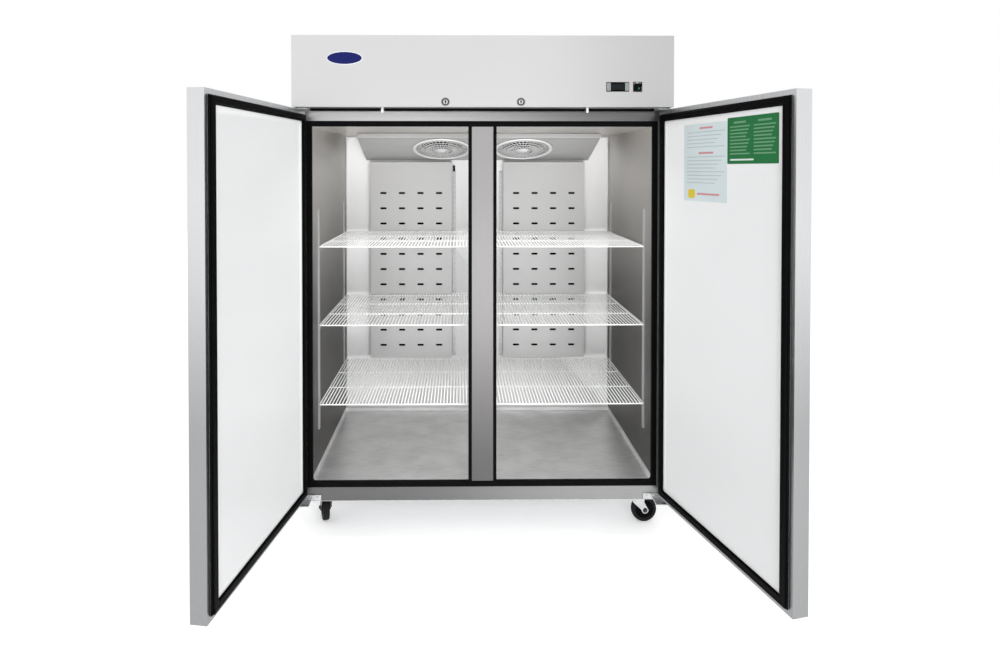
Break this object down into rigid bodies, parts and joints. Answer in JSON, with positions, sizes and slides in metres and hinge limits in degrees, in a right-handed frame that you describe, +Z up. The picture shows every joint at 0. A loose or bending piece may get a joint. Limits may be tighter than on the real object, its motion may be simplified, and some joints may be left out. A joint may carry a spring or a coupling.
{
  "type": "two-door reach-in refrigerator",
  "caption": "Stainless upright commercial refrigerator with hinged doors either side of a mullion, wire shelves, a top machine compartment and swivel casters.",
  "frame": {"origin": "on the floor, under the middle of the cabinet body (half its width, half its depth)", "axes": "+Z up, -Y out of the front where the doors open, +X to the right as seen from the front"},
  "size_m": [1.7033, 1.5178, 1.891],
  "materials": {
    "black_enamel": "black enamel",
    "black_plastic": "moulded, slightly glossy",
    "brushed_stainless": "satin brushed, grain along the sheet",
    "coil_fins": "thin fins",
    "gasket_rubber": "matte black",
    "grey_key": "moulded",
    "insulating_foam": "rigid foam, hidden",
    "white_coated_wire": "white plastic-coated wire",
    "white_liner": "smooth white sheet",
    "zinc_plate": "bright zinc plate"
  },
  "bodies": {
    "cabinet": {"air_duct_left": "brushed_stainless", "air_duct_right": "brushed_stainless", "base_sheet": "brushed_stainless", "breaker_frame": "black_plastic", "cabinet_foam": "insulating_foam", "compressor": "black_enamel", "condenser_coil": "coil_fins", "evaporator_coil": "coil_fins", "evaporator_cover": "brushed_stainless", "fan_grille_left": "white_coated_wire", "fan_grille_right": "white_coated_wire", "front_frame": "brushed_stainless", "hinge_bracket_lower_left": "zinc_plate", "hinge_bracket_lower_right": "zinc_plate", "hinge_bracket_upper_left": "zinc_plate", "hinge_bracket_upper_right": "zinc_plate", "interior_liner": "brushed_stainless", "machine_guard": "brushed_stainless", "mullion_cover": "brushed_stainless", "outer_shell": "brushed_stainless", "pilaster_left_front": "zinc_plate", "pilaster_left_rear": "zinc_plate", "pilaster_right_front": "zinc_plate", "pilaster_right_rear": "zinc_plate"},
    "door_left": {"door_left_skin": "brushed_stainless", "door_left_foam": "insulating_foam", "door_left_liner": "white_liner", "door_left_gasket": "gasket_rubber"},
    "door_right": {"door_right_skin": "brushed_stainless", "door_right_foam": "insulating_foam", "door_right_liner": "white_liner", "door_right_gasket": "gasket_rubber"},
    "service_panel": {"service_panel": "brushed_stainless", "thermostat": "black_plastic"},
    "lock_left": {"lock_left": "zinc_plate"},
    "evaporator_fan_left": {"evaporator_fan_left": "black_plastic"},
    "shelf_left_1": {"shelf_left_1": "white_coated_wire"},
    "shelf_left_2": {"shelf_left_2": "white_coated_wire"},
    "shelf_left_3": {"shelf_left_3": "white_coated_wire"},
    "lock_right": {"lock_right": "zinc_plate"},
    "evaporator_fan_right": {"evaporator_fan_right": "black_plastic"},
    "shelf_right_1": {"shelf_right_1": "white_coated_wire"},
    "shelf_right_2": {"shelf_right_2": "white_coated_wire"},
    "shelf_right_3": {"shelf_right_3": "white_coated_wire"},
    "key_1": {"thermostat_key_1": "grey_key"},
    "key_2": {"thermostat_key_2": "grey_key"},
    "key_3": {"thermostat_key_3": "grey_key"},
    "key_4": {"thermostat_key_4": "grey_key"},
    "rocker": {"rocker_switch": "black_plastic"},
    "condenser_fan": {"condenser_fan": "black_plastic"},
    "caster_front_left": {"caster_front_left_fork": "zinc_plate"},
    "wheel_front_left": {"caster_front_left_wheel": "gasket_rubber"},
    "pedal_front_left": {"caster_front_left_pedal": "black_plastic"},
    "caster_front_right": {"caster_front_right_fork": "zinc_plate"},
    "wheel_front_right": {"caster_front_right_wheel": "gasket_rubber"},
    "pedal_front_right": {"caster_front_right_pedal": "black_plastic"},
    "caster_rear_left": {"caster_rear_left_fork": "zinc_plate"},
    "wheel_rear_left": {"caster_rear_left_wheel": "gasket_rubber"},
    "caster_rear_right": {"caster_rear_right_fork": "zinc_plate"},
    "wheel_rear_right": {"caster_rear_right_wheel": "gasket_rubber"}
  },
  "joints": [
    {"name": "door_left_swing", "type": "hinge", "parent": "cabinet", "child": "door_left", "pos_m": [-0.694, -0.435, 0.8845], "axis": [0, 0, -1], "range_deg": [-98.7, 21.3]},
    {"name": "door_right_swing", "type": "hinge", "parent": "cabinet", "child": "door_right", "pos_m": [0.694, -0.435, 0.8845], "axis": [0, 0, 1], "range_deg": [-103.5, 16.5]},
    {"name": "service_panel_lift", "type": "hinge", "parent": "cabinet", "child": "service_panel", "pos_m": [0, -0.398, 1.8905], "axis": [-1, 0, 0], "range_deg": [0, 75]},
    {"name": "lock_left_turn", "type": "hinge", "parent": "service_panel", "child": "lock_left", "pos_m": [-0.14, -0.46, 1.645], "axis": [0, -1, 0], "range_deg": [0, 90]},
    {"name": "lock_right_turn", "type": "hinge", "parent": "service_panel", "child": "lock_right", "pos_m": [0.14, -0.46, 1.645], "axis": [0, 1, 0], "range_deg": [0, 90]},
    {"name": "key_1_press", "type": "slide", "parent": "service_panel", "child": "key_1", "axis": [0, 1, 0], "range_m": [0, 0.001], "stiffness_N_per_m": 250},
    {"name": "key_2_press", "type": "slide", "parent": "service_panel", "child": "key_2", "axis": [0, 1, 0], "range_m": [0, 0.001], "stiffness_N_per_m": 250},
    {"name": "key_3_press", "type": "slide", "parent": "service_panel", "child": "key_3", "axis": [0, 1, 0], "range_m": [0, 0.001], "stiffness_N_per_m": 250},
    {"name": "key_4_press", "type": "slide", "parent": "service_panel", "child": "key_4", "axis": [0, 1, 0], "range_m": [0, 0.001], "stiffness_N_per_m": 250},
    {"name": "rocker_tip", "type": "hinge", "parent": "service_panel", "child": "rocker", "pos_m": [0.5737, -0.454, 1.701], "axis": [-1, 0, 0], "range_deg": [0, 16]},
    {"name": "shelf_left_1_lift", "type": "slide", "parent": "cabinet", "child": "shelf_left_1", "axis": [0, 0, 1], "range_m": [0, 0.03]},
    {"name": "shelf_left_2_lift", "type": "slide", "parent": "cabinet", "child": "shelf_left_2", "axis": [0, 0, 1], "range_m": [0, 0.03]},
    {"name": "shelf_left_3_lift", "type": "slide", "parent": "cabinet", "child": "shelf_left_3", "axis": [0, 0, 1], "range_m": [0, 0.03]},
    {"name": "shelf_right_1_lift", "type": "slide", "parent": "cabinet", "child": "shelf_right_1", "axis": [0, 0, 1], "range_m": [0, 0.03]},
    {"name": "shelf_right_2_lift", "type": "slide", "parent": "cabinet", "child": "shelf_right_2", "axis": [0, 0, 1], "range_m": [0, 0.03]},
    {"name": "shelf_right_3_lift", "type": "slide", "parent": "cabinet", "child": "shelf_right_3", "axis": [0, 0, 1], "range_m": [0, 0.03]},
    {"name": "evaporator_fan_left_spin", "type": "hinge", "parent": "cabinet", "child": "evaporator_fan_left", "pos_m": [-0.17, 0.18572, 1.50912], "axis": [0, 0.3162, 0.9487], "continuous": true},
    {"name": "evaporator_fan_right_spin", "type": "hinge", "parent": "cabinet", "child": "evaporator_fan_right", "pos_m": [0.21, 0.18572, 1.50912], "axis": [0, 0.3162, 0.9487], "continuous": true},
    {"name": "condenser_fan_spin", "type": "hinge", "parent": "cabinet", "child": "condenser_fan", "pos_m": [0.2, -0.163, 1.7253], "axis": [0, -1, 0], "continuous": true},
    {"name": "caster_front_left_swivel", "type": "hinge", "parent": "cabinet", "child": "caster_front_left", "pos_m": [-0.615, -0.315, 0.125], "axis": [0, 0, 1], "continuous": true},
    {"name": "wheel_front_left_roll", "type": "hinge", "parent": "caster_front_left", "child": "wheel_front_left", "pos_m": [-0.62365, -0.28837, 0.05], "axis": [-0.9511, -0.309, 0], "continuous": true},
    {"name": "pedal_front_left_press", "type": "hinge", "parent": "caster_front_left", "child": "pedal_front_left", "pos_m": [-0.62427, -0.28647, 0.111], "axis": [-0.9511, -0.309, 0], "range_deg": [0, 15]},
    {"name": "caster_front_right_swivel", "type": "hinge", "parent": "cabinet", "child": "caster_front_right", "pos_m": [0.615, -0.315, 0.125], "axis": [0, 0, 1], "continuous": true},
    {"name": "wheel_front_right_roll", "type": "hinge", "parent": "caster_front_right", "child": "wheel_front_right", "pos_m": [0.64293, -0.31305, 0.05], "axis": [-0.0698, 0.9976, 0], "continuous": true},
    {"name": "pedal_front_right_press", "type": "hinge", "parent": "caster_front_right", "child": "pedal_front_right", "pos_m": [0.64493, -0.31291, 0.111], "axis": [-0.0698, 0.9976, 0], "range_deg": [0, 15]},
    {"name": "caster_rear_left_swivel", "type": "hinge", "parent": "cabinet", "child": "caster_rear_left", "pos_m": [-0.615, 0.315, 0.125], "axis": [0, 0, 1], "continuous": true},
    {"name": "wheel_rear_left_roll", "type": "hinge", "parent": "caster_rear_left", "child": "wheel_rear_left", "pos_m": [-0.60542, 0.34131, 0.05], "axis": [-0.9397, 0.342, 0], "continuous": true},
    {"name": "caster_rear_right_swivel", "type": "hinge", "parent": "cabinet", "child": "caster_rear_right", "pos_m": [0.615, 0.315, 0.125], "axis": [0, 0, 1], "continuous": true},
    {"name": "wheel_rear_right_roll", "type": "hinge", "parent": "caster_rear_right", "child": "wheel_rear_right", "pos_m": [0.60542, 0.34131, 0.05], "axis": [-0.9397, -0.342, 0], "continuous": true}
  ]
}
